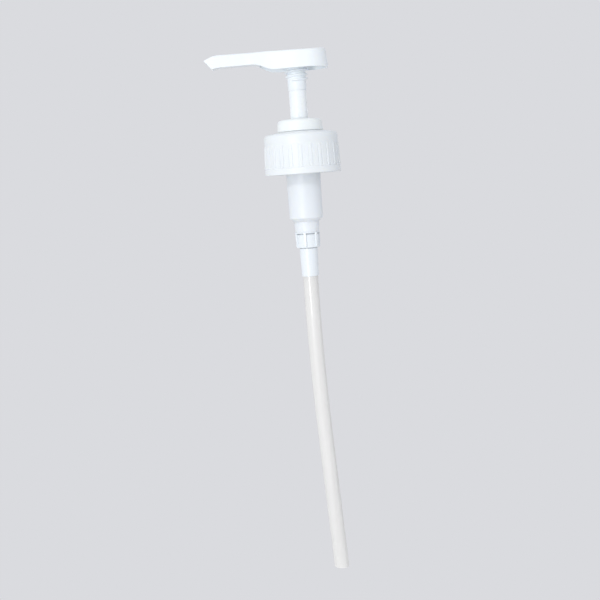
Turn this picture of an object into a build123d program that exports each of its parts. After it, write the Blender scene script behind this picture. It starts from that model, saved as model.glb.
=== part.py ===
from build123d import *
import math
import os

# A condiment pump for a jug with a 38 mm screw neck. Millimetres, +Z up along the pump's axis, with the
# origin on that axis where the gasket meets the jug's rim. The spout points to -X.

# ---- driving dimensions ----
STROKE = 20.5  # travel of the head, stem and piston
RUN = 0.08  # radial clearance of a turning or sliding fit
SNUG = 0.02  # radial clearance of a pressed fit
SLACK = 0.05  # axial clearance between stacked pieces
SINK = 0.3  # how far added features reach into the wall they stand on
TRIM = 1.0  # how far cutting shapes run past the surface they cut
LEAD_IN = 0.4  # chamfer on the ends of pushed-in pieces
ROUND = 0.5  # ordinary moulded edge
FINE_ROUND = 0.3  # thin moulded edge

# push head
HEAD_LOW = 41.1  # lower rim
HEAD_TOP = 51.7  # crown of the top
HEAD_R = 11.7  # rounded rear end
HEAD_REAR_X = 6.4  # centre of that rounding
HEAD_DRAFT = 0.9  # how much the walls lean in from rim to top
HEAD_WALL = 1.7
HEAD_CROWN_R = 58.0
HEAD_EDGE = 1.5  # rounding of the top's rim
HEAD_FRONT_X = -13.1  # where the rim starts to rise to the spout
RISE_POINTS = ((-17.5, 42.8), (-20.8, 44.2))
RISE_END_X = -25.0
FLANK_POINTS = ((-11.0, 9.8), (-19.0, 7.5))  # outline from above between the round rear and the spout
HOLLOW_FRONT_X = -20.0
HOLLOW_TOP = 48.8
SPOUT_ROOT_X = -27.0
SPOUT_ROOT_LOW = 44.95
SPOUT_LIP_LOW = 44.65
SPOUT_W = 9.4
LIP_START_X = -42.6
LIP_POINTS = ((-44.9, 44.35), (-46.4, 43.8))
NOSE_POINT = (-46.8, 50.6)
NOSE_END_X = -39.0
TIP_X = -50.9
TIP_Z = 48.85
TIP_W = 8.4
DUCT_W = 5.2
DUCT_WALL = 1.4
DUCT_LOW = 46.2
DUCT_HIGH = 50.1
DUCT_TAPER_X = -40.0  # from here the duct's ceiling falls with the nose
DUCT_MOUTH_HIGH = 48.6
BOSS_R = 5.15
BOSS_LOW = 29.4
LOCK_PITCH = 2.5
LOCK_TURNS = 2.6
LOCK_PHASE = -117.0  # where the ridge starts, in degrees from +X
LOCK_CREST = 6.3
LOCK_RIDGE_W = 1.7
WEB_T = 1.3
WEB_RISE = 2.6  # the webs stop this far above the rim
OUTLET_CHAMBER_R = 3.1
OUTLET_BALL_STOP = 46.3
PEG_R = 0.9

# stem, rod and piston
STEM_R = 4.9
STEM_LOW = -5.5
STEM_BORE = 2.6
NECK_R = 3.9
NECK_TOP = 41.0
OUTLET_SEAT_DEPTH = 1.3
OUTLET_THROAT = 1.0  # length of the narrow bore under the seat, and of the funnel under that
SPIGOT_R = 2.9
SPIGOT_TOP = 6.0
ROD_R = 4.2
ROD_BORE = 1.7
PISTON_FLANGE_R = 6.0
PISTON_LOW = -13.1
FLANGE_T = 1.5
PILOT_R = 3.9
PILOT_LENGTH = 3.0
SEAL_R = 8.25
SEAL_BODY_R = 7.75
SEAL_NOTCH_R = 7.2  # each end has a notch between the lip and the hub
SEAL_NOTCH = 1.2
SEAL_HUB_R = 6.3
SEAL_LIP_START = 0.2
SEAL_LIP_END = 1.1
SEAL_LIP_ROOT = 2.4

# barrel
BARREL_BORE = 8.3
BARREL_TOP_R = 9.75
BARREL_LOW_R = 9.5
BARREL_LOW = -41.8
COLLAR_NECK_R = 10.22
COLLAR_NECK_TOP = 11.0
SEAT_R = 17.0
SEAT_LOW = 1.5
SEAT_HIGH = 3.3
LOWER_R = 7.1
LOWER_TOP = -43.9
LOWER_END = -49.7
LOWER_BORE = 5.82
LOWER_DRAFT = 0.2
CONE_WALL_RISE = 0.9  # the bore's cone starts this far above the outer one
CONE_WALL_DROP = 0.6
VENT_Z = -3.4
VENT_R = 0.6
GASKET_R = 17.4
GASKET_ROUND = 0.25
GUIDE_LOW = -4.5
SEAL_RING_R = 6.5
SEAL_RING_T = 1.5
WIPE = 0.04  # radial clearance of the wiper seal

# closure
CAP_LAND = 6.6
CAP_LAND_R = 13.4
CAP_CEILING = 3.5
CAP_SHOULDER_R = 20.85
CAP_SHOULDER_Z = 5.3
CAP_EDGE = 2.4
CAP_RIM_R = 21.5
CAP_RIM_DRAFT = 0.1
CAP_LOW = -17.0
CAP_BORE = 19.05
BAND_TOP = -0.3  # the ribbed band lies a little deeper than the shoulder and the rim
BAND_LOW = -13.4
BAND_TOP_R = 20.75
BAND_LOW_R = 21.12
BAND_FADE = 1.6  # height over which the shoulder eases into the band
BAND_STEP = 0.5  # height of the slope at the band's lower end
NECK_THREAD_CREST = 17.85
NECK_THREAD_PITCH = 4.23
NECK_THREAD_TURNS = 1.5
NECK_THREAD_LOW = -9.5
NECK_THREAD_W = 2.4
RIB_COUNT = 24
RIB_PHASE = -77.0  # a main rib, in degrees from +X
RIB_W = 1.5
RIB_HEIGHT = 0.32
RIB_ROUND = 0.29
LOW_RIB_W = 2.6
LOW_RIB_HEIGHT = 0.15
LOW_RIB_ROUND = 0.12

# collar
COLLAR_TOP = 13.4
COLLAR_LOW = 6.75
COLLAR_TOP_R = 12.4
COLLAR_LOW_R = 12.9
COLLAR_EDGE = 2.2
SLEEVE_R = 8.2
SLEEVE_BORE = 6.5
SLEEVE_LOW = 2.6
LOCK_NUT_CREST = 5.55
LOCK_NUT_LOW = 7.8
LOCK_NUT_TURNS = 1.7
LOCK_LOW = COLLAR_TOP + STROKE + LOCK_RIDGE_W / 2 + SLACK  # the ridge just clears the collar at full stroke

# inlet end and suction tube
INLET_BAND_LOW = -50.4  # lower edge of the band that continues the barrel's second section
SEAM_H = 0.8
SEAM_R = 5.6
CORE_R = 6.2
CORE_LOW = -58.6
FOOT_SEAM_H = 0.5
FOOT_SEAM_R = 4.6
CHAMBER_R = 4.3
SPIGOT_END_TOP = -47.5
INLET_CONE_TOP = -55.0
INLET_RIB_COUNT = 6
INLET_RIB_PHASE = -104.0
INLET_RIB_W = 1.5
INLET_RIB_TOP_R = 7.2
INLET_RIB_LOW_R = 6.95
INLET_RIB_FOOT = 0.7  # height of the slope at the ribs' lower end
INLET_RIB_TOP_GAP = 0.2
SOCKET_TOP_R = 5.15
SOCKET_LOW_R = 4.85
SOCKET_LOW = -75.1
TUBE_STOP = -60.5
TUBE_TOP = -60.7
TUBE_R = 4.3
TUBE_WALL = 0.8
TUBE_LOW = -248.7
TUBE_BEND = 3.0  # degrees, towards +X
TUBE_STRAIGHT_LOW = -80.0
TUBE_BEND_LENGTH = 90.0
TUBE_END_TILT = -4.0  # slant of the cut end from level, degrees, low on the +X side

# check balls and spring
OUTLET_BALL_R = 2.5
OUTLET_SEAT_R = 1.6
INLET_BALL_R = 3.175
INLET_SEAT_R = 2.0
SPRING_R = 4.75
WIRE_R = 0.55
SPRING_LOW = -46.3
SPRING_TURNS = 9
SPRING_SEAT_R = 5.75
BALL_STOP_R = 2.2
BALL_STOP_LOW = -48.6
FLOW_HOLE_R = 0.85


def thread_ridge(wall, crest, pitch, turns, start, width):
    """One right-hand helical ridge about Z, from a wall's radius to its crest, sunk a little into the wall."""
    inward = math.copysign(1.0, wall - crest)
    with BuildPart() as ridge:
        with BuildLine() as path:
            Helix(pitch=pitch, height=pitch * turns, radius=wall, center=(0, 0, start))
        with BuildSketch(Plane(origin=path.line @ 0, x_dir=(1, 0, 0), z_dir=path.line % 0)):
            Polygon(
                (SINK * inward, -width / 2),
                (crest - wall, -width / 5),
                (crest - wall, width / 5),
                (SINK * inward, width / 2),
                align=None,
            )
        sweep(is_frenet=True)
    return ridge.part


def head_plan(inset):
    """The push head's outline from above, drawn in from its lower rim by inset."""
    spout_line = (TIP_X - TRIM - SPOUT_ROOT_X, (TIP_W - SPOUT_W) / 2)
    with BuildSketch() as plan:
        with BuildLine():
            rear = CenterArc((HEAD_REAR_X, 0), HEAD_R - inset, 0, 90)
            flank = Spline(
                rear @ 1,
                *[(x, y - inset) for x, y in FLANK_POINTS],
                (SPOUT_ROOT_X, SPOUT_W / 2 - inset),
                tangents=((-1, 0), spout_line),
            )
            side = Line(flank @ 1, (TIP_X - TRIM, TIP_W / 2 - inset))
            Line(side @ 1, (TIP_X - TRIM, 0))
            mirror(about=Plane.XZ)
        make_face()
    return plan.sketch


def cap_rib(width, height, edge_round):
    """One upright rib of the closure's band at +X, running out to nothing at both ends."""
    with BuildPart() as rib:
        with BuildSketch(Plane.XZ):
            Polygon(
                (BAND_TOP_R - SINK, BAND_LOW),
                (BAND_LOW_R, BAND_LOW),
                (BAND_LOW_R + height, BAND_LOW + BAND_STEP),
                (BAND_TOP_R + height, BAND_TOP - BAND_FADE),
                (BAND_TOP_R, BAND_TOP),
                (BAND_TOP_R - SINK, BAND_TOP),
                align=None,
            )
        extrude(amount=width / 2, both=True)
        long_edges = rib.edges().filter_by(lambda e: e.length > 5 and e.center().X > BAND_TOP_R)
        fillet(long_edges, edge_round)
    return rib.part


os.makedirs("parts", exist_ok=True)

# ---- push head ----
with BuildPart() as head_cavity:
    with BuildSketch(Plane.XY.offset(HEAD_LOW)):
        add(head_plan(HEAD_WALL))
    with BuildSketch(Plane.XY.offset(HEAD_TOP)):
        add(head_plan(HEAD_WALL + HEAD_DRAFT))
    loft()
    with BuildSketch(Plane.XZ):
        Polygon(
            (HOLLOW_FRONT_X, HEAD_LOW - TRIM),
            (HEAD_REAR_X + HEAD_R, HEAD_LOW - TRIM),
            (HEAD_REAR_X + HEAD_R, HOLLOW_TOP),
            (HOLLOW_FRONT_X, HOLLOW_TOP),
            align=None,
        )
    extrude(amount=2 * HEAD_R, both=True, mode=Mode.INTERSECT)

with BuildPart() as actuator_head:
    with BuildSketch(Plane.XY.offset(HEAD_LOW)):
        add(head_plan(0))
    with BuildSketch(Plane.XY.offset(HEAD_TOP)):
        add(head_plan(HEAD_DRAFT))
    loft()
    # crowned top
    with BuildSketch(Plane.YZ):
        with Locations((0, HEAD_TOP - HEAD_CROWN_R)):
            Circle(HEAD_CROWN_R)
    extrude(amount=-2 * TIP_X, both=True, mode=Mode.INTERSECT)
    top_rim = actuator_head.faces().sort_by(Axis.Z)[-1].outer_wire().edges()
    fillet(top_rim.filter_by(lambda e: abs(e.center().Y) > 1.0), HEAD_EDGE)
    # side outline: rim, rise to the spout, drip lip, slanted mouth, drooping nose
    with BuildSketch(Plane.XZ):
        with BuildLine():
            rim = Line((HEAD_REAR_X + HEAD_R + TRIM, HEAD_LOW), (HEAD_FRONT_X, HEAD_LOW))
            rise = Spline(rim @ 1, *RISE_POINTS, (RISE_END_X, SPOUT_ROOT_LOW), tangents=((-1, 0.25), (-1, 0)))
            floor = Line(rise @ 1, (LIP_START_X, SPOUT_LIP_LOW))
            lip = Spline(floor @ 1, *LIP_POINTS, tangents=((-1, 0), (-1, -0.8)))
            mouth = Line(lip @ 1, (TIP_X, TIP_Z))
            nose_end = (NOSE_END_X, HEAD_TOP + SINK)
            nose = Spline(mouth @ 1, NOSE_POINT, nose_end, tangents=((1, 0.35), (1, 0.06)))
            Polyline(
                nose @ 1,
                (NOSE_END_X, HEAD_TOP + 2 * TRIM),
                (HEAD_REAR_X + HEAD_R + TRIM, HEAD_TOP + 2 * TRIM),
                rim @ 0,
            )
        make_face()
    extrude(amount=2 * HEAD_R, both=True, mode=Mode.INTERSECT)
    add(head_cavity.part, mode=Mode.SUBTRACT)
    # boss, duct to the spout and stiffening webs
    ceiling = HEAD_TOP - HEAD_WALL
    with BuildSketch(Plane.XY.offset(BOSS_LOW)):
        Circle(BOSS_R)
    extrude(amount=ceiling - BOSS_LOW)
    with BuildSketch(Plane.XY.offset(DUCT_LOW - DUCT_WALL)):
        with Locations((HOLLOW_FRONT_X / 2 - TRIM, 0)):
            Rectangle(-HOLLOW_FRONT_X + 2 * TRIM, DUCT_W + 2 * DUCT_WALL)
    extrude(amount=ceiling - DUCT_LOW + DUCT_WALL)
    web_reach = HEAD_R - HEAD_WALL + SINK
    with BuildSketch(Plane.XY.offset(HEAD_LOW + WEB_RISE)):
        with Locations(((HEAD_REAR_X + web_reach) / 2, 0)):
            Rectangle(HEAD_REAR_X + web_reach, WEB_T)
        Rectangle(WEB_T, 2 * web_reach)
    extrude(amount=ceiling - HEAD_LOW - WEB_RISE)
    # lock thread
    with Locations(Rotation(0, 0, LOCK_PHASE)):
        add(thread_ridge(BOSS_R, LOCK_CREST, LOCK_PITCH, LOCK_TURNS, LOCK_LOW, LOCK_RIDGE_W))
    # socket for the stem, ball chamber and spout duct
    with BuildSketch(Plane.XY.offset(BOSS_LOW)):
        Circle(NECK_R + SNUG)
    extrude(amount=NECK_TOP + SNUG - BOSS_LOW, mode=Mode.SUBTRACT)
    with BuildSketch(Plane.XY.offset(NECK_TOP)):
        Circle(OUTLET_CHAMBER_R)
    extrude(amount=DUCT_LOW + TRIM - NECK_TOP, mode=Mode.SUBTRACT)
    with BuildSketch(Plane.XZ):
        Polygon(
            (OUTLET_CHAMBER_R, DUCT_LOW),
            (OUTLET_CHAMBER_R, DUCT_HIGH),
            (DUCT_TAPER_X, DUCT_HIGH),
            (TIP_X - TRIM, DUCT_MOUTH_HIGH),
            (TIP_X - TRIM, DUCT_LOW),
            align=None,
        )
    extrude(amount=DUCT_W / 2, both=True, mode=Mode.SUBTRACT)
    # peg that stops the ball
    with BuildSketch(Plane.XY.offset(OUTLET_BALL_STOP)):
        Circle(PEG_R)
    extrude(amount=DUCT_HIGH + SINK - OUTLET_BALL_STOP)
actuator_head.part.label = "actuator_head"
export_step(actuator_head.part, "parts/actuator_head.step")

# ---- check ball over the stem ----
outlet_ball_z = NECK_TOP - OUTLET_SEAT_DEPTH - OUTLET_SEAT_R + OUTLET_BALL_R * math.sqrt(2) + SLACK
with BuildPart() as outlet_ball:
    with Locations((0, 0, outlet_ball_z)):
        Sphere(OUTLET_BALL_R)
outlet_ball.part.label = "outlet_ball"
export_step(outlet_ball.part, "parts/outlet_ball.step")

# ---- stem: smooth tube with a stepped neck that is pressed into the head ----
with BuildPart() as stem:
    with BuildSketch(Plane.XZ):
        Polygon(
            (SPIGOT_R + SNUG, STEM_LOW),
            (STEM_R - LEAD_IN, STEM_LOW),
            (STEM_R, STEM_LOW + LEAD_IN),
            (STEM_R, BOSS_LOW - SNUG),
            (NECK_R, BOSS_LOW - SNUG),
            (NECK_R, NECK_TOP - LEAD_IN),
            (NECK_R - LEAD_IN, NECK_TOP),
            (OUTLET_SEAT_R + OUTLET_SEAT_DEPTH, NECK_TOP),
            (OUTLET_SEAT_R, NECK_TOP - OUTLET_SEAT_DEPTH),
            (OUTLET_SEAT_R, NECK_TOP - OUTLET_SEAT_DEPTH - OUTLET_THROAT),
            (STEM_BORE, NECK_TOP - OUTLET_SEAT_DEPTH - 2 * OUTLET_THROAT),
            (STEM_BORE, SPIGOT_TOP + SNUG),
            (SPIGOT_R + SNUG, SPIGOT_TOP + SNUG),
            align=None,
        )
    revolve(axis=Axis.Z)
stem.part.label = "stem"
export_step(stem.part, "parts/stem.step")

# ---- piston rod: spigot in the stem, body through the seal, flange and spring pilot ----
with BuildPart() as piston_rod:
    with BuildSketch(Plane.XZ):
        Polygon(
            (ROD_BORE, PISTON_LOW - FLANGE_T - PILOT_LENGTH),
            (PILOT_R - LEAD_IN, PISTON_LOW - FLANGE_T - PILOT_LENGTH),
            (PILOT_R, PISTON_LOW - FLANGE_T - PILOT_LENGTH + LEAD_IN),
            (PILOT_R, PISTON_LOW - FLANGE_T),
            (PISTON_FLANGE_R, PISTON_LOW - FLANGE_T),
            (PISTON_FLANGE_R, PISTON_LOW),
            (ROD_R, PISTON_LOW),
            (ROD_R, STEM_LOW - SNUG),
            (SPIGOT_R, STEM_LOW - SNUG),
            (SPIGOT_R, SPIGOT_TOP - LEAD_IN),
            (SPIGOT_R - LEAD_IN, SPIGOT_TOP),
            (ROD_BORE, SPIGOT_TOP),
            align=None,
        )
    revolve(axis=Axis.Z)
piston_rod.part.label = "piston_rod"
export_step(piston_rod.part, "parts/piston_rod.step")

# ---- piston seal: two lips that meet the barrel ----
with BuildPart() as piston_seal:
    seal_low = PISTON_LOW + SLACK
    seal_high = STEM_LOW - SLACK
    with BuildSketch(Plane.XZ):
        Polygon(
            (ROD_R + SLACK, seal_low),
            (SEAL_HUB_R, seal_low),
            (SEAL_NOTCH_R, seal_low + SEAL_NOTCH),
            (SEAL_BODY_R, seal_low),
            (SEAL_R, seal_low + SEAL_LIP_START),
            (SEAL_R, seal_low + SEAL_LIP_END),
            (SEAL_BODY_R, seal_low + SEAL_LIP_ROOT),
            (SEAL_BODY_R, seal_high - SEAL_LIP_ROOT),
            (SEAL_R, seal_high - SEAL_LIP_END),
            (SEAL_R, seal_high - SEAL_LIP_START),
            (SEAL_BODY_R, seal_high),
            (SEAL_NOTCH_R, seal_high - SEAL_NOTCH),
            (SEAL_HUB_R, seal_high),
            (ROD_R + SLACK, seal_high),
            align=None,
        )
    revolve(axis=Axis.Z)
piston_seal.part.label = "piston_seal"
export_step(piston_seal.part, "parts/piston_seal.step")

# ---- return spring, ends ground flat ----
with BuildPart() as return_spring:
    spring_length = PISTON_LOW - FLANGE_T - SPRING_LOW
    with BuildLine() as spring_path:
        Helix(
            pitch=spring_length / SPRING_TURNS,
            height=spring_length,
            radius=SPRING_R,
            center=(0, 0, SPRING_LOW),
        )
    with BuildSketch(Plane(origin=spring_path.line @ 0, x_dir=(1, 0, 0), z_dir=spring_path.line % 0)):
        Circle(WIRE_R)
    sweep(is_frenet=True)
    with BuildSketch(Plane.XY.offset(SPRING_LOW)):
        Circle(2 * SPRING_R)
    extrude(amount=spring_length, mode=Mode.INTERSECT)
return_spring.part.label = "return_spring"
export_step(return_spring.part, "parts/return_spring.step")

# ---- collar with the lock thread ----
with BuildPart() as collar:
    collar_ceiling = COLLAR_NECK_TOP + SLACK
    with BuildSketch(Plane.XZ):
        Polygon(
            (SLEEVE_BORE, SLEEVE_LOW),
            (SLEEVE_R, SLEEVE_LOW),
            (SLEEVE_R, collar_ceiling),
            (COLLAR_NECK_R + SNUG, collar_ceiling),
            (COLLAR_NECK_R + SNUG, COLLAR_LOW),
            (COLLAR_LOW_R, COLLAR_LOW),
            (COLLAR_TOP_R, COLLAR_TOP),
            (SLEEVE_BORE, COLLAR_TOP),
            align=None,
        )
    revolve(axis=Axis.Z)
    top_edges = collar.edges().filter_by(GeomType.CIRCLE).group_by(Axis.Z)[-1].sort_by(SortBy.RADIUS)
    fillet(top_edges[-1], COLLAR_EDGE)
    fillet(top_edges[0], ROUND)
    low_edges = collar.edges().filter_by(GeomType.CIRCLE)
    fillet(low_edges.filter_by(lambda e: abs(e.radius - COLLAR_LOW_R) < SNUG), FINE_ROUND)
    add(thread_ridge(SLEEVE_BORE, LOCK_NUT_CREST, LOCK_PITCH, LOCK_NUT_TURNS, LOCK_NUT_LOW, LOCK_RIDGE_W))
collar.part.label = "collar"
export_step(collar.part, "parts/collar.step")

# ---- guide bush and wiper seal in the top of the barrel ----
with BuildPart() as stem_guide:
    with BuildSketch(Plane.XZ):
        Polygon(
            (STEM_R + RUN, GUIDE_LOW + SEAL_RING_T),
            (SEAL_RING_R + SNUG, GUIDE_LOW + SEAL_RING_T),
            (SEAL_RING_R + SNUG, GUIDE_LOW),
            (BARREL_BORE - LEAD_IN, GUIDE_LOW),
            (BARREL_BORE - SNUG, GUIDE_LOW + LEAD_IN),
            (BARREL_BORE - SNUG, SLEEVE_LOW - SLACK),
            (STEM_R + RUN, SLEEVE_LOW - SLACK),
            align=None,
        )
    revolve(axis=Axis.Z)
stem_guide.part.label = "stem_guide"
export_step(stem_guide.part, "parts/stem_guide.step")

with BuildPart() as stem_seal:
    with BuildSketch(Plane.XY.offset(GUIDE_LOW)):
        Circle(SEAL_RING_R)
        Circle(STEM_R + WIPE, mode=Mode.SUBTRACT)
    extrude(amount=SEAL_RING_T - SNUG)
stem_seal.part.label = "stem_seal"
export_step(stem_seal.part, "parts/stem_seal.step")

# ---- barrel with its seat flange, neck, cone and second section ----
with BuildPart() as housing:
    with BuildSketch(Plane.XZ):
        Polygon(
            (BARREL_BORE, COLLAR_NECK_TOP),
            (BARREL_BORE, BARREL_LOW + CONE_WALL_RISE),
            (LOWER_BORE, LOWER_TOP + CONE_WALL_DROP),
            (LOWER_BORE, LOWER_END),
            (LOWER_R - LOWER_DRAFT, LOWER_END),
            (LOWER_R, LOWER_TOP),
            (BARREL_LOW_R, BARREL_LOW),
            (BARREL_TOP_R, SEAT_LOW),
            (SEAT_R, SEAT_LOW),
            (SEAT_R, SEAT_HIGH),
            (COLLAR_NECK_R, SEAT_HIGH),
            (COLLAR_NECK_R, COLLAR_NECK_TOP),
            align=None,
        )
    revolve(axis=Axis.Z)
    outer_edges = housing.edges().filter_by(GeomType.CIRCLE)
    fillet(outer_edges.filter_by(lambda e: abs(e.radius - BARREL_LOW_R) < SNUG), ROUND)
    # vent that lets air into the jug
    with BuildSketch(Plane.XZ):
        with Locations((0, VENT_Z)):
            Circle(VENT_R)
    extrude(amount=-2 * BARREL_BORE, mode=Mode.SUBTRACT)
housing.part.label = "housing"
export_step(housing.part, "parts/housing.step")

# ---- gasket ----
with BuildPart() as gasket:
    with BuildSketch():
        Circle(GASKET_R)
        Circle(BARREL_TOP_R + RUN, mode=Mode.SUBTRACT)
    extrude(amount=SEAT_LOW - SNUG)
    fillet(gasket.edges().filter_by(GeomType.CIRCLE).group_by(Axis.Z)[0], GASKET_ROUND)
gasket.part.label = "gasket"
export_step(gasket.part, "parts/gasket.step")

# ---- screw closure ----
with BuildPart() as closure_cap:
    with BuildSketch(Plane.XZ):
        Polygon(
            (COLLAR_NECK_R + RUN, CAP_CEILING),
            (COLLAR_NECK_R + RUN, CAP_LAND),
            (CAP_LAND_R, CAP_LAND),
            (CAP_SHOULDER_R, CAP_SHOULDER_Z),
            (CAP_SHOULDER_R, BAND_TOP + BAND_FADE),
            (BAND_TOP_R, BAND_TOP),
            (BAND_LOW_R, BAND_LOW),
            (CAP_RIM_R - CAP_RIM_DRAFT, BAND_LOW - BAND_STEP),
            (CAP_RIM_R, CAP_LOW),
            (CAP_BORE, CAP_LOW),
            (CAP_BORE, CAP_CEILING),
            align=None,
        )
    revolve(axis=Axis.Z)
    rounds = closure_cap.edges().filter_by(GeomType.CIRCLE)
    fillet(rounds.filter_by(lambda e: abs(e.center().Z - CAP_SHOULDER_Z) < SNUG), CAP_EDGE)
    fillet(rounds.filter_by(lambda e: abs(e.radius - CAP_RIM_R) < SNUG), LEAD_IN)
    with PolarLocations(0, RIB_COUNT, start_angle=RIB_PHASE):
        add(cap_rib(RIB_W, RIB_HEIGHT, RIB_ROUND))
    with PolarLocations(0, RIB_COUNT, start_angle=RIB_PHASE + 180 / RIB_COUNT):
        add(cap_rib(LOW_RIB_W, LOW_RIB_HEIGHT, LOW_RIB_ROUND))
    add(
        thread_ridge(
            CAP_BORE, NECK_THREAD_CREST, NECK_THREAD_PITCH, NECK_THREAD_TURNS, NECK_THREAD_LOW, NECK_THREAD_W
        )
    )
closure_cap.part.label = "closure_cap"
export_step(closure_cap.part, "parts/closure_cap.step")

# ---- inlet end: spigot, ribbed valve chamber, tube socket ----
with BuildPart() as inlet_rib:
    with BuildSketch(Plane.XZ):
        Polygon(
            (SEAM_R - SINK, LOWER_END - INLET_RIB_TOP_GAP),
            (INLET_RIB_TOP_R, LOWER_END - INLET_RIB_TOP_GAP),
            (INLET_RIB_LOW_R, CORE_LOW + INLET_RIB_FOOT),
            (CORE_R + SINK, CORE_LOW),
            (SEAM_R - SINK, CORE_LOW),
            align=None,
        )
    extrude(amount=INLET_RIB_W / 2, both=True)
    rib_face_edges = inlet_rib.edges().filter_by(lambda e: e.length > 3 and e.center().X > CORE_R)
    fillet(rib_face_edges, FINE_ROUND)

with BuildPart() as inlet_valve_body:
    with BuildSketch(Plane.XZ):
        Polygon(
            (CHAMBER_R, SPIGOT_END_TOP),
            (CHAMBER_R, INLET_CONE_TOP),
            (INLET_SEAT_R, INLET_CONE_TOP - CHAMBER_R + INLET_SEAT_R),
            (INLET_SEAT_R, TUBE_STOP),
            (TUBE_R + SNUG, TUBE_STOP),
            (TUBE_R + SNUG, SOCKET_LOW),
            (SOCKET_LOW_R, SOCKET_LOW),
            (SOCKET_TOP_R, CORE_LOW - FOOT_SEAM_H),
            (FOOT_SEAM_R, CORE_LOW - FOOT_SEAM_H),
            (FOOT_SEAM_R, CORE_LOW),
            (CORE_R, CORE_LOW),
            (CORE_R, INLET_BAND_LOW - SEAM_H),
            (SEAM_R, INLET_BAND_LOW - SEAM_H),
            (SEAM_R, INLET_BAND_LOW),
            (LOWER_R - LOWER_DRAFT, INLET_BAND_LOW),
            (LOWER_R - LOWER_DRAFT, LOWER_END - SNUG),
            (LOWER_BORE - SNUG, LOWER_END - SNUG),
            (LOWER_BORE - SNUG, SPIGOT_END_TOP),
            align=None,
        )
    revolve(axis=Axis.Z)
    socket_lip = inlet_valve_body.edges().filter_by(lambda e: abs(e.center().Z - SOCKET_LOW) < SNUG)
    fillet(socket_lip.sort_by(SortBy.RADIUS)[-1], FINE_ROUND)
    with PolarLocations(0, INLET_RIB_COUNT, start_angle=INLET_RIB_PHASE):
        add(inlet_rib.part)
inlet_valve_body.part.label = "inlet_valve_body"
export_step(inlet_valve_body.part, "parts/inlet_valve_body.step")

# ---- spring seat: slotted disc that also stops the ball ----
with BuildPart() as spring_seat:
    with BuildSketch(Plane.XY.offset(SPIGOT_END_TOP + SNUG)):
        Circle(SPRING_SEAT_R)
        with PolarLocations((BALL_STOP_R + CHAMBER_R) / 2, 6):
            Circle(FLOW_HOLE_R, mode=Mode.SUBTRACT)
    extrude(amount=SPRING_LOW - SPIGOT_END_TOP - 2 * SNUG)
    with BuildSketch(Plane.XY.offset(BALL_STOP_LOW)):
        Circle(BALL_STOP_R)
    extrude(amount=SPIGOT_END_TOP + SINK - BALL_STOP_LOW)
spring_seat.part.label = "spring_seat"
export_step(spring_seat.part, "parts/spring_seat.step")

# ---- check ball at the inlet ----
inlet_ball_z = INLET_CONE_TOP - CHAMBER_R + INLET_BALL_R * math.sqrt(2) + SLACK
with BuildPart() as inlet_ball:
    with Locations((0, 0, inlet_ball_z)):
        Sphere(INLET_BALL_R)
inlet_ball.part.label = "inlet_ball"
export_step(inlet_ball.part, "parts/inlet_ball.step")

# ---- suction tube: stiff, with a slight set towards +X, end cut at a slant ----
bend_radius = TUBE_BEND_LENGTH / math.radians(TUBE_BEND)
end_run = (TUBE_STRAIGHT_LOW - TUBE_BEND_LENGTH - TUBE_LOW) / math.cos(math.radians(TUBE_BEND))
with BuildPart() as dip_tube:
    with BuildLine(Plane.XZ) as tube_path:
        upper = Line((0, TUBE_TOP), (0, TUBE_STRAIGHT_LOW))
        bend = JernArc(upper @ 1, (0, -1), bend_radius, TUBE_BEND)
        lower = Line(bend @ 1, bend @ 1 + (bend % 1) * (end_run + TUBE_R))
    with BuildSketch(Plane.XY.offset(TUBE_TOP)):
        Circle(TUBE_R)
        Circle(TUBE_R - TUBE_WALL, mode=Mode.SUBTRACT)
    sweep()
    tube_end = bend @ 1 + (bend % 1) * end_run
    slant = Plane(origin=tube_end, z_dir=(0, 0, 1)).rotated((0, -TUBE_END_TILT, 0))
    split(bisect_by=slant, keep=Keep.TOP)
dip_tube.part.label = "dip_tube"
export_step(dip_tube.part, "parts/dip_tube.step")
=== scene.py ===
"""Looks of the condiment pump: camera, studio light, materials and the return spring's coils."""

import math

import bpy
from mathutils import Matrix, Vector


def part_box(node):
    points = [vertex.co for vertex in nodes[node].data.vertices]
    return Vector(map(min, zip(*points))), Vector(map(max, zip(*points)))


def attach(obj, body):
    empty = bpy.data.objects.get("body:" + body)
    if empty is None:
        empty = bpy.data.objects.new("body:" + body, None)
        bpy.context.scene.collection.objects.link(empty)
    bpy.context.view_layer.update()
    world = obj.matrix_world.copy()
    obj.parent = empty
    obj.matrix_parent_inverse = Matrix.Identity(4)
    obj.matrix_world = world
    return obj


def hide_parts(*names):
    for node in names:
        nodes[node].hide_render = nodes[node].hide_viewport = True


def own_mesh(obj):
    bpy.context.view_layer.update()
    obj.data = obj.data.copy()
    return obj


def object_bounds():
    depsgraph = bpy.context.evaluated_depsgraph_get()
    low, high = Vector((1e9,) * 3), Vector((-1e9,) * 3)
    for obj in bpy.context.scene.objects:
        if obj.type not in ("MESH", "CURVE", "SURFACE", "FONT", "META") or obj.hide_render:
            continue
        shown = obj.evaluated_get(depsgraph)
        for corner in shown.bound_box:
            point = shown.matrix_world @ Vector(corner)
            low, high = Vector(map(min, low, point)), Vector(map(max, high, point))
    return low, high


MM = 0.001

# ---- camera: places in metres, angles in degrees ----
CAMERA_PLACE = (-0.0070, -0.5703, -0.0200)
CAMERA_PITCH = 6.86  # looking down
CAMERA_ROLL = 4.15  # the object leans to the left by this much
CAMERA_LENS = 60.0
SENSOR = 36.0
CLIP = (0.01, 50.0)

# ---- floor and backdrop: linear colours, lengths in metres ----
BACKDROP = (0.7011, 0.7084, 0.7379)
FLOOR_DROP = 0.45  # the floor lies this far below the tube's end
FLOOR_SIZE = 8.0
SHADE = (0.57, 0.57, 0.55)  # right under the object
SHADE_REACH = 0.9

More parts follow.
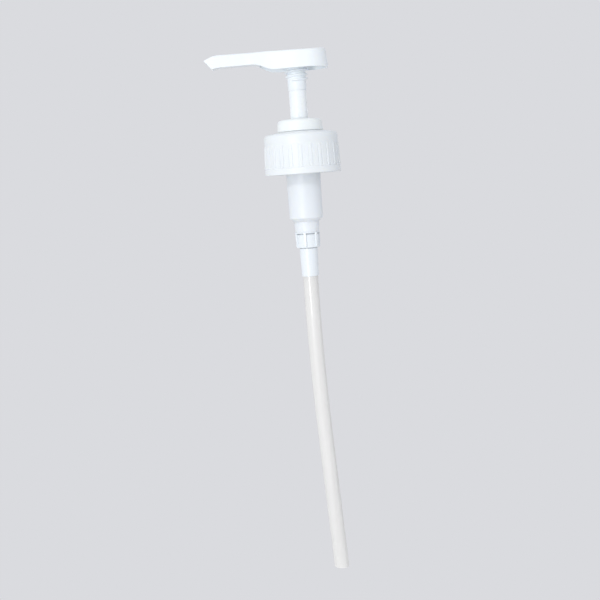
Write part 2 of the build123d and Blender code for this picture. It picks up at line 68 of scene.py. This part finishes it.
# ---- lights: azimuth 0 is the camera's side and negative is to its left ----
LIGHT_DISTANCE = 1.3
KEY = {"azimuth": -18.0, "elevation": 25.0, "size": 0.03, "power": 2.0, "colour": (0.985, 1.0, 1.0)}
FILL = {"azimuth": -24.0, "elevation": -6.0, "size": 0.3, "power": 4.5, "colour": (1.0, 1.0, 0.98)}
TOP = {"azimuth": -30.0, "elevation": 70.0, "size": 0.6, "power": 0.8, "colour": (1.0, 1.0, 1.0)}
BACK = {"azimuth": 165.0, "elevation": 8.0, "size": 0.3, "power": 2.8, "colour": (1.0, 1.0, 1.0)}

# ---- tones: the two display colours, 0-255, between which a plastic varies ----
HEAD_TONES = ((243, 249, 253), (241, 247, 251))
STEM_TONES = ((246, 251, 254), (244, 249, 252))
WHITE_TONES = ((245, 250, 250), (242, 247, 248))
CLOSURE_TONES = ((239, 244, 247), (236, 241, 244))
BARREL_TONES = ((239, 244, 249), (236, 241, 246))
INLET_TONES = ((240, 246, 251), (238, 244, 249))
NATURAL_TONES = ((238, 237, 230), (230, 229, 221))
FOAM_TONES = ((236, 236, 232), (214, 214, 210))

# ---- tones of the other materials: linear colours ----
TUBE_TONES = ((1.0, 0.996, 0.984, 1.0), (0.965, 0.961, 0.945, 1.0))
STEEL_TONES = ((0.62, 0.63, 0.65, 1), (0.72, 0.73, 0.74, 1))
WIRE_TONES = ((0.45, 0.46, 0.48, 1), (0.62, 0.63, 0.65, 1))
RUBBER_TONES = ((0.08, 0.08, 0.082, 1), (0.12, 0.12, 0.122, 1))

# ---- noise: scales in cycles per metre, and the range that a noise's values are taken to span ----
FLOW_SCALE = (70, 70, 20)
STEM_FLOW_SCALE = (110, 110, 8)
GLOSS_SCALE = 420
SKIN_SCALE = 2600
SINK_SCALE = (260, 260, 160)
DIE_SCALE = (1500, 1500, 6)
STREAK_SCALE = (650, 650, 5)
STEEL_SCALE = 700
WIRE_SCALE = (300, 300, 5200)
CELL_SCALE = 3200
DUST_SCALE = 1200
NOISE_CORE = (0.35, 0.65)
NOISE_SPAN = (0.3, 0.7)

# ---- relief depths in metres ----
SKIN_DEPTH = 0.000004
SINK_DEPTH = 0.00003
DIE_DEPTH = 0.000012
WIRE_DEPTH = 0.000006
CELL_DEPTH = 0.00004
DUST_DEPTH = 0.00001

# ---- gloss, scatter and painted shade ----
GLOSS_BELOW, GLOSS_ABOVE = 0.03, 0.04  # how far a plastic's roughness strays
SCATTER = (1.0, 0.9, 0.7)
MOST_CLOSED = 0.35  # a spot this little open to its surroundings gets the darkest painted shade
TUBE_THROUGH = 0.3  # share of the tube's look that is light passing through
TUBE_GLOSS = 0.022  # share that is mirror-like shine
TUBE_GLOSS_ROUGHNESS = 0.12

# ---- return spring ----
WIRE_RADIUS = 0.55 * MM
DEAD_COILS = 1.0  # at each end
ACTIVE_COILS = 7.0
DEAD_PITCH = 1.9  # in wire radii
STEPS_PER_TURN = 40
WIRE_SIDES = 12

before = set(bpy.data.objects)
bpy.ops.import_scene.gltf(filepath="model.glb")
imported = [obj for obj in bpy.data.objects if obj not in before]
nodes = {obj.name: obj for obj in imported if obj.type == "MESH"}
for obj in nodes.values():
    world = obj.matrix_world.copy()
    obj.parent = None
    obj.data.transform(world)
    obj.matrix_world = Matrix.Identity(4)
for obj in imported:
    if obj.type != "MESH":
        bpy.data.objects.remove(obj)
cad_low, cad_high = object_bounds()
scene = bpy.context.scene


def srgb(red, green, blue):
    """Linear colour from 0-255 display values."""
    out = []
    for value in (red, green, blue):
        c = value / 255.0
        out.append(c / 12.92 if c <= 0.04045 else ((c + 0.055) / 1.055) ** 2.4)
    return (*out, 1.0)


# ---------------------------------------------------------------- camera, floor and light


def make_camera():
    data = bpy.data.cameras.new("camera")
    data.lens = CAMERA_LENS
    data.sensor_width = SENSOR
    data.clip_start, data.clip_end = CLIP
    camera = bpy.data.objects.new("camera", data)
    scene.collection.objects.link(camera)
    tilt = Matrix.Rotation(math.radians(90.0 - CAMERA_PITCH), 4, "X")
    roll = Matrix.Rotation(math.radians(-CAMERA_ROLL), 4, "Z")
    camera.matrix_world = Matrix.Translation(CAMERA_PLACE) @ tilt @ roll
    scene.camera = camera


def make_floor():
    """A pale floor that gives off the backdrop's colour, with a soft shade right under the object."""
    data = bpy.data.meshes.new("floor")
    half = FLOOR_SIZE / 2
    corners = [(-half, -half, 0), (half, -half, 0), (half, half, 0), (-half, half, 0)]
    data.from_pydata(corners, [], [(0, 1, 2, 3)])
    floor = bpy.data.objects.new("floor", data)
    floor.location.z = cad_low.z - FLOOR_DROP
    scene.collection.objects.link(floor)
    material = bpy.data.materials.new("floor_pale")
    material.use_nodes = True
    tree = material.node_tree
    tree.nodes.clear()
    place = tree.nodes.new("ShaderNodeTexCoord")
    reach = tree.nodes.new("ShaderNodeVectorMath")
    reach.operation = "LENGTH"
    tree.links.new(place.outputs["Object"], reach.inputs[0])
    fade = tree.nodes.new("ShaderNodeMapRange")
    fade.interpolation_type = "SMOOTHSTEP"
    fade.inputs["From Max"].default_value = SHADE_REACH
    tree.links.new(reach.outputs["Value"], fade.inputs["Value"])
    tone = tree.nodes.new("ShaderNodeMix")
    tone.data_type = "RGBA"
    tone.inputs["A"].default_value = (*SHADE, 1.0)
    tone.inputs["B"].default_value = (*BACKDROP, 1.0)
    tree.links.new(fade.outputs["Result"], tone.inputs["Factor"])
    glow = tree.nodes.new("ShaderNodeEmission")
    tree.links.new(tone.outputs["Result"], glow.inputs["Color"])
    out = tree.nodes.new("ShaderNodeOutputMaterial")
    tree.links.new(glow.outputs[0], out.inputs["Surface"])
    data.materials.append(material)


def make_world():
    world = bpy.data.worlds.new("studio")
    world.use_nodes = True
    sky = world.node_tree.nodes["Background"]
    sky.inputs["Color"].default_value = (*BACKDROP, 1.0)
    sky.inputs["Strength"].default_value = 1.0
    scene.world = world


def make_light(name, azimuth, elevation, size, power, colour):
    """A soft square light that shines on the closure from that direction."""
    data = bpy.data.lights.new(name, "AREA")
    data.shape = "SQUARE"
    data.size = size
    data.energy = power
    data.color = colour
    light = bpy.data.objects.new(name, data)
    scene.collection.objects.link(light)
    a, e = math.radians(azimuth), math.radians(elevation)
    away = Vector((math.sin(a) * math.cos(e), -math.cos(a) * math.cos(e), math.sin(e)))
    light.location = away * LIGHT_DISTANCE
    light.rotation_mode = "QUATERNION"
    light.rotation_quaternion = away.to_track_quat("Z", "Y")
    return light


# ---------------------------------------------------------------- materials


class Surface:
    """A Principled material under construction, with short names for the nodes it needs."""

    def __init__(self, name):
        self.material = bpy.data.materials.new(name)
        self.material.use_nodes = True
        self.tree = self.material.node_tree
        self.shader = self.tree.nodes["Principled BSDF"]
        self.place = self.add("ShaderNodeTexCoord").outputs["Object"]

    def add(self, kind, **settings):
        node = self.tree.nodes.new(kind)
        for key, value in settings.items():
            setattr(node, key, value)
        return node

    def link(self, source, target):
        self.tree.links.new(source, target)

    def feed(self, source, socket):
        """Links source to the shader's socket of that name."""
        self.link(source, self.shader.inputs[socket])

    def stretched(self, scale):
        """Object coordinates stretched by scale, a number or an (x, y, z)."""
        mapping = self.add("ShaderNodeMapping")
        spread = scale if isinstance(scale, tuple) else (scale,) * 3
        mapping.inputs["Scale"].default_value = spread
        self.link(self.place, mapping.inputs["Vector"])
        return mapping.outputs["Vector"]

    def noise(self, scale, detail):
        node = self.add("ShaderNodeTexNoise")
        node.inputs["Scale"].default_value = 1.0
        node.inputs["Detail"].default_value = detail
        node.inputs["Roughness"].default_value = 0.5
        self.link(self.stretched(scale), node.inputs["Vector"])
        return node.outputs["Fac"]

    def ramp(self, source, span, low_value, high_value):
        """Maps source from span, a (low, high), to low_value..high_value."""
        node = self.add("ShaderNodeMapRange")
        node.inputs["From Min"].default_value, node.inputs["From Max"].default_value = span
        node.inputs["To Min"].default_value = low_value
        node.inputs["To Max"].default_value = high_value
        self.link(source, node.inputs["Value"])
        return node.outputs["Result"]

    def mix(self, factor, first, second):
        """Blends two colours by factor."""
        node = self.add("ShaderNodeMix", data_type="RGBA")
        node.inputs["A"].default_value = first
        node.inputs["B"].default_value = second
        self.link(factor, node.inputs["Factor"])
        return node.outputs["Result"]

    def painted_crease_shade(self, tone, reach, least, clear=0.8):
        """The tone again, with painted shade: down to least of it in grooves and corners narrower than
        reach.

        Places that are open to more than clear of their surroundings keep it all.
        """
        near = self.add("ShaderNodeAmbientOcclusion")
        near.inputs["Distance"].default_value = reach
        dark = self.add("ShaderNodeMix", data_type="RGBA", blend_type="MULTIPLY")
        dark.inputs["Factor"].default_value = 1.0
        self.link(tone, dark.inputs["A"])
        openness = self.ramp(near.outputs["AO"], (MOST_CLOSED, clear), least, 1.0)
        self.link(openness, dark.inputs["B"])
        return dark.outputs["Result"]

    def bump(self, height, depth, below=None):
        """Relief of that depth in metres, on top of another relief if one is given."""
        node = self.add("ShaderNodeBump")
        node.inputs["Distance"].default_value = depth
        node.inputs["Strength"].default_value = 1.0
        self.link(height, node.inputs["Height"])
        if below is not None:
            self.link(below, node.inputs["Normal"])
        return node.outputs["Normal"]

    def set(self, **values):
        """Sets shader sockets by name, with underscores for spaces."""
        for key, value in values.items():
            self.shader.inputs[key.replace("_", " ")].default_value = value


def moulded_plastic(
    name, tones, roughness, flow=FLOW_SCALE, translucent=0.1, depth=0.0008, painted_crease_shade=(0.001, 0.85)
):
    """Injection-moulded polypropylene: faint flow shading, satin gloss that varies, fine skin relief,
    painted shade in grooves and corners.
    """
    s = Surface(name)
    cloud = s.noise(flow, detail=2.0)
    tone = s.mix(s.ramp(cloud, NOISE_CORE, 0.0, 1.0), *(srgb(*display) for display in tones))
    # painted shade: the base colour darkens in grooves and corners, where shade falls
    s.feed(s.painted_crease_shade(tone, *painted_crease_shade), "Base Color")
    wear = s.noise(GLOSS_SCALE, detail=1.0)
    s.feed(s.ramp(wear, NOISE_SPAN, roughness - GLOSS_BELOW, roughness + GLOSS_ABOVE), "Roughness")
    skin = s.bump(s.noise(SKIN_SCALE, detail=2.0), SKIN_DEPTH)
    sink = s.bump(s.noise(SINK_SCALE, detail=1.0), SINK_DEPTH, skin)
    s.feed(sink, "Normal")
    s.set(
        IOR=1.49,
        Specular_IOR_Level=0.45,
        Subsurface_Weight=translucent,
        Subsurface_Radius=SCATTER,
        Subsurface_Scale=depth,
    )
    return s.material


def tube_plastic(name):
    """Extruded natural polyethylene: milky, lengthwise streaks and die lines, lets light through."""
    s = Surface(name)
    die = s.noise(DIE_SCALE, detail=3.0)
    streaks = s.ramp(s.noise(STREAK_SCALE, detail=2.0), NOISE_CORE, 0.0, 1.0)
    tone = s.mix(streaks, *TUBE_TONES)
    s.feed(tone, "Base Color")
    s.feed(s.ramp(die, NOISE_SPAN, 0.30, 0.42), "Roughness")
    s.feed(s.bump(die, DIE_DEPTH), "Normal")
    s.set(IOR=1.51)
    through = s.add("ShaderNodeBsdfTranslucent")
    s.link(tone, through.inputs["Color"])
    wall = s.add("ShaderNodeMixShader")
    wall.inputs["Fac"].default_value = TUBE_THROUGH
    s.link(s.shader.outputs[0], wall.inputs[1])
    s.link(through.outputs[0], wall.inputs[2])
    gloss = s.add("ShaderNodeBsdfAnisotropic")
    gloss.inputs["Color"].default_value = (1.0, 1.0, 1.0, 1.0)
    gloss.inputs["Roughness"].default_value = TUBE_GLOSS_ROUGHNESS
    skin = s.add("ShaderNodeMixShader")
    skin.inputs["Fac"].default_value = TUBE_GLOSS
    s.link(wall.outputs[0], skin.inputs[1])
    s.link(gloss.outputs[0], skin.inputs[2])
    s.link(skin.outputs[0], s.tree.nodes["Material Output"].inputs["Surface"])
    return s.material


def polished_steel(name):
    s = Surface(name)
    haze = s.noise(STEEL_SCALE, detail=3.0)
    s.feed(s.mix(haze, *STEEL_TONES), "Base Color")
    s.feed(s.ramp(haze, NOISE_SPAN, 0.06, 0.16), "Roughness")
    s.set(Metallic=1.0)
    return s.material


def drawn_wire(name):
    s = Surface(name)
    grain = s.noise(WIRE_SCALE, detail=4.0)
    s.feed(s.mix(grain, *WIRE_TONES), "Base Color")
    s.feed(s.ramp(grain, NOISE_SPAN, 0.22, 0.38), "Roughness")
    s.feed(s.bump(grain, WIRE_DEPTH), "Normal")
    s.set(Metallic=1.0)
    return s.material


def foam_sheet(name):
    """Closed-cell foam: dull, with small cells."""
    s = Surface(name)
    cells = s.add("ShaderNodeTexVoronoi")
    cells.inputs["Scale"].default_value = 1.0
    s.link(s.stretched(CELL_SCALE), cells.inputs["Vector"])
    distance = cells.outputs["Distance"]
    s.feed(s.mix(distance, *(srgb(*display) for display in FOAM_TONES)), "Base Color")
    s.feed(s.bump(distance, CELL_DEPTH), "Normal")
    s.set(Roughness=0.8, Specular_IOR_Level=0.25)
    return s.material


def moulded_rubber(name):
    s = Surface(name)
    dust = s.noise(DUST_SCALE, detail=4.0)
    s.feed(s.mix(dust, *RUBBER_TONES), "Base Color")
    s.feed(s.bump(dust, DUST_DEPTH), "Normal")
    s.set(Roughness=0.6, Specular_IOR_Level=0.3)
    return s.material


def dress(material, *names):
    """Gives CAD nodes their finished material."""
    for name in names:
        slots = nodes[name].data.materials
        slots.clear()
        slots.append(material)
        nodes[name].data.update()


def make_materials():
    """Dresses every CAD node, and returns the material for the spring's coils."""
    # each plastic's crease setting is painted shade in its grooves and corners: how far it reaches and
    # how dark it gets
    head = moulded_plastic("head_plastic", HEAD_TONES, 0.34, translucent=0.15, depth=0.0015)
    dress(head, "actuator_head")
    stem = moulded_plastic("stem_plastic", STEM_TONES, 0.28, flow=STEM_FLOW_SCALE, painted_crease_shade=(0.0015, 0.9))
    dress(stem, "stem")
    collar = moulded_plastic("collar_plastic", WHITE_TONES, 0.36, painted_crease_shade=(0.001, 0.97))
    dress(collar, "collar")
    dress(moulded_plastic("closure_plastic", CLOSURE_TONES, 0.38), "closure_cap")
    # the barrel's painted shade reaches 4 mm, so it darkens the downward-facing cone at its lower step
    stepped = {"translucent": 0.2, "depth": 0.0014, "painted_crease_shade": (0.004, 0.5, 0.97)}
    dress(moulded_plastic("barrel_plastic", BARREL_TONES, 0.42, **stepped), "housing")
    # the inlet's painted shade darkens its seam grooves
    seamed = {"translucent": 0.05, "depth": 0.0006, "painted_crease_shade": (0.0015, 0.7)}
    dress(moulded_plastic("inlet_plastic", INLET_TONES, 0.32, **seamed), "inlet_valve_body")
    dress(moulded_plastic("inner_plastic", WHITE_TONES, 0.4), "piston_rod", "stem_guide")
    natural = moulded_plastic("natural_plastic", NATURAL_TONES, 0.42, translucent=0.4)
    dress(natural, "piston_seal", "spring_seat")
    dress(foam_sheet("gasket_foam_sheet"), "gasket")
    dress(moulded_rubber("wiper_rubber"), "stem_seal")
    dress(polished_steel("ball_polish"), "outlet_ball", "inlet_ball")
    dress(tube_plastic("tube_polyethylene"), "dip_tube")
    return drawn_wire("spring_wire")


# ---------------------------------------------------------------- return spring


def new_piece(name, vertices, faces, material):
    data = bpy.data.meshes.new(name)
    data.from_pydata(vertices, [], faces)
    data.materials.append(material)
    for face in data.polygons:
        face.use_smooth = True
    piece = bpy.data.objects.new(name, data)
    scene.collection.objects.link(piece)
    return piece


def coil_rise(turns, dead_pitch, pitch):
    """Height of the wire's centre above its start after that many turns."""
    rise = min(turns, DEAD_COILS) * dead_pitch
    rise += min(max(turns - DEAD_COILS, 0), ACTIVE_COILS) * pitch
    return rise + max(turns - DEAD_COILS - ACTIVE_COILS, 0) * dead_pitch


def make_spring(material):
    """A compression spring as long as its CAD solid, with close coils at both ends and a round wire."""
    low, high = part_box("return_spring")
    radius = (high.x - low.x) / 2 - WIRE_RADIUS
    free = high.z - low.z - 2 * WIRE_RADIUS
    dead_pitch = DEAD_PITCH * WIRE_RADIUS
    pitch = (free - 2 * DEAD_COILS * dead_pitch) / ACTIVE_COILS
    vertices, faces = [], []
    count = int((ACTIVE_COILS + 2 * DEAD_COILS) * STEPS_PER_TURN)
    for i in range(count + 1):
        turns = i / STEPS_PER_TURN
        angle = 2 * math.pi * turns
        out = Vector((math.cos(angle), math.sin(angle), 0))
        height = low.z + WIRE_RADIUS + coil_rise(turns, dead_pitch, pitch)
        centre = out * radius + Vector((0, 0, height))
        for k in range(WIRE_SIDES):
            b = 2 * math.pi * k / WIRE_SIDES
            edge = centre + out * (WIRE_RADIUS * math.cos(b))
            vertices.append(edge + Vector((0, 0, WIRE_RADIUS * math.sin(b))))
    for i in range(count):
        for k in range(WIRE_SIDES):
            a, b = i * WIRE_SIDES + k, i * WIRE_SIDES + (k + 1) % WIRE_SIDES
            faces.append((a, a + WIRE_SIDES, b + WIRE_SIDES, b))
    faces.append(tuple(range(WIRE_SIDES)))
    faces.append(tuple(reversed(range(count * WIRE_SIDES, (count + 1) * WIRE_SIDES))))
    spring = new_piece("return_spring_coils", vertices, faces, material)
    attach(spring, "pump_body")
    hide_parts("return_spring")
    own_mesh(spring)


make_camera()
make_floor()
make_world()
make_light("key", **KEY)
make_light("fill", **FILL)
make_light("top", **TOP)
back = make_light("back", **BACK)
back.visible_glossy = False  # its reflection would draw a bright line along every edge
make_spring(make_materials())
scene.view_settings.view_transform = "Standard"
